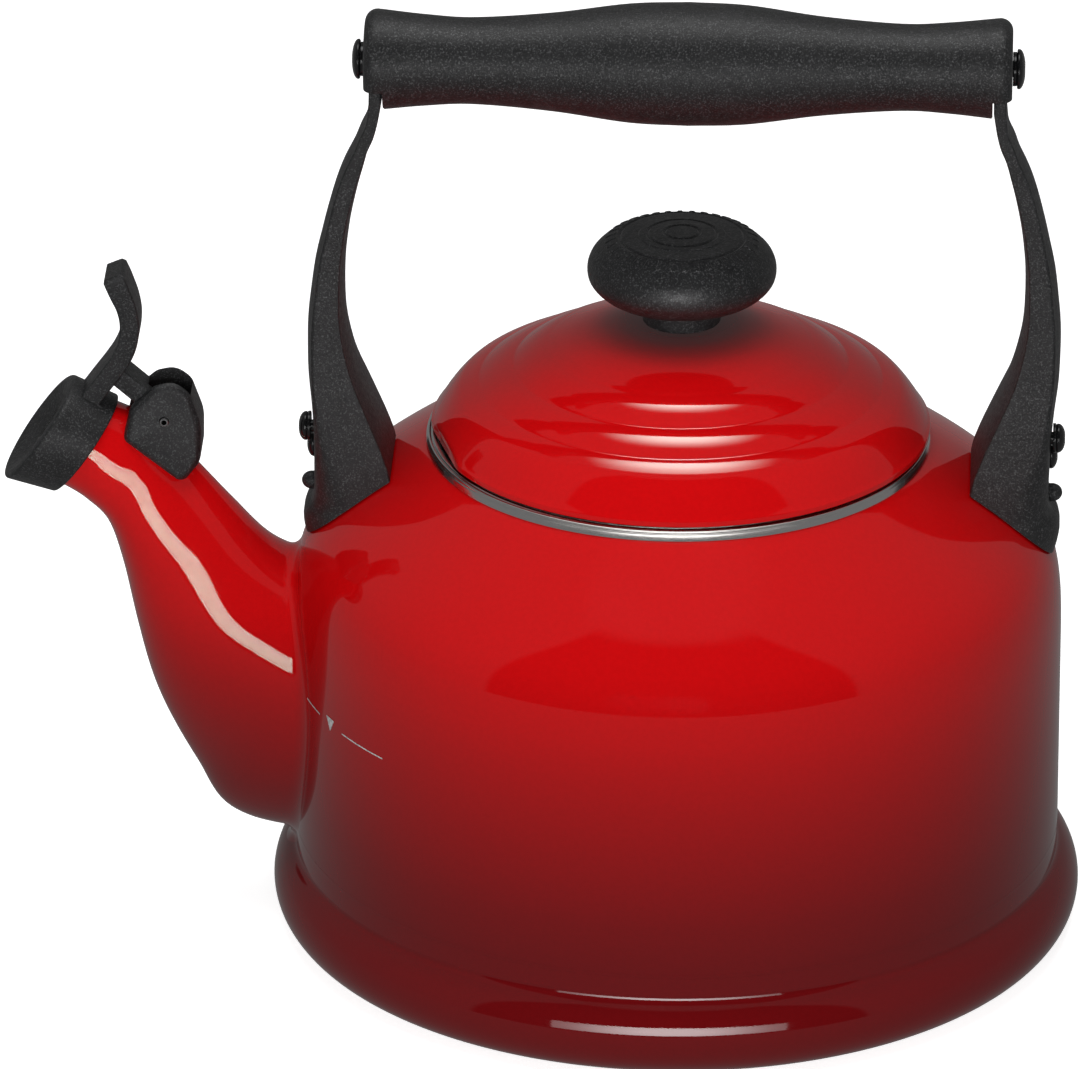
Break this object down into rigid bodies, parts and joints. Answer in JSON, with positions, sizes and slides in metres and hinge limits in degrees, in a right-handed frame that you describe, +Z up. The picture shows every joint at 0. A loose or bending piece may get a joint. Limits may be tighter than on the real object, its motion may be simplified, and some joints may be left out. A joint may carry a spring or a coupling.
{
  "type": "stovetop whistling kettle",
  "caption": "Enamelled steel stovetop kettle with a lift-off stepped lid, a rigid bail handle and a gooseneck spout with a sprung whistle cap.",
  "frame": {"origin": "centre of the flat base, on the stove's surface", "axes": "+Z up, +X away from the spout, -Y towards the side that carries the fill mark"},
  "size_m": [0.2603, 0.196, 0.2361],
  "materials": {
    "red_enamel": "glossy vitreous enamel, shading to dark maroon at the base",
    "stainless": "polished",
    "black_phenolic": "matt, finely speckled",
    "black_screw": "gloss black",
    "zinc_steel": "zinc plated",
    "brass": "machined"
  },
  "bodies": {
    "vessel": {"body_shell": "red_enamel", "base_pan": "red_enamel", "spout": "red_enamel", "rim_ring": "stainless", "handle_grip": "black_phenolic", "arm_left": "black_phenolic", "bracket_left": "zinc_steel", "foot_screw_upper_left": "black_screw", "foot_screw_lower_left": "black_screw", "foot_washer_left": "black_screw", "foot_stud_left": "black_phenolic", "grip_screw_left": "black_screw", "grip_washer_left": "black_screw", "grip_insert_left": "brass", "arm_right": "black_phenolic", "bracket_right": "zinc_steel", "foot_screw_upper_right": "black_screw", "foot_screw_lower_right": "black_screw", "foot_washer_right": "black_screw", "foot_stud_right": "black_phenolic", "grip_screw_right": "black_screw", "grip_washer_right": "black_screw", "grip_insert_right": "brass", "whistle_housing": "black_phenolic", "spout_lug": "zinc_steel", "pivot_pin": "stainless"},
    "lid": {"lid_shell": "red_enamel", "lid_skirt": "stainless", "knob": "black_phenolic", "knob_screw": "zinc_steel", "knob_washer": "zinc_steel"},
    "whistle": {"whistle_cap": "black_phenolic", "whistle_disc_inner": "stainless", "whistle_disc_outer": "stainless", "whistle_lever": "black_phenolic", "torsion_spring": "stainless"}
  },
  "joints": [
    {"name": "whistle_pivot", "type": "hinge", "parent": "vessel", "child": "whistle", "pos_m": [-0.1231, 0, 0.1299], "axis": [0, 1, 0], "range_deg": [0, 50], "stiffness_Nm_per_rad": 0.02, "springref_deg": -34.38},
    {"name": "lid_lift", "type": "slide", "parent": "vessel", "child": "lid", "axis": [0, 0, 1], "range_m": [0, 0.024]}
  ]
}
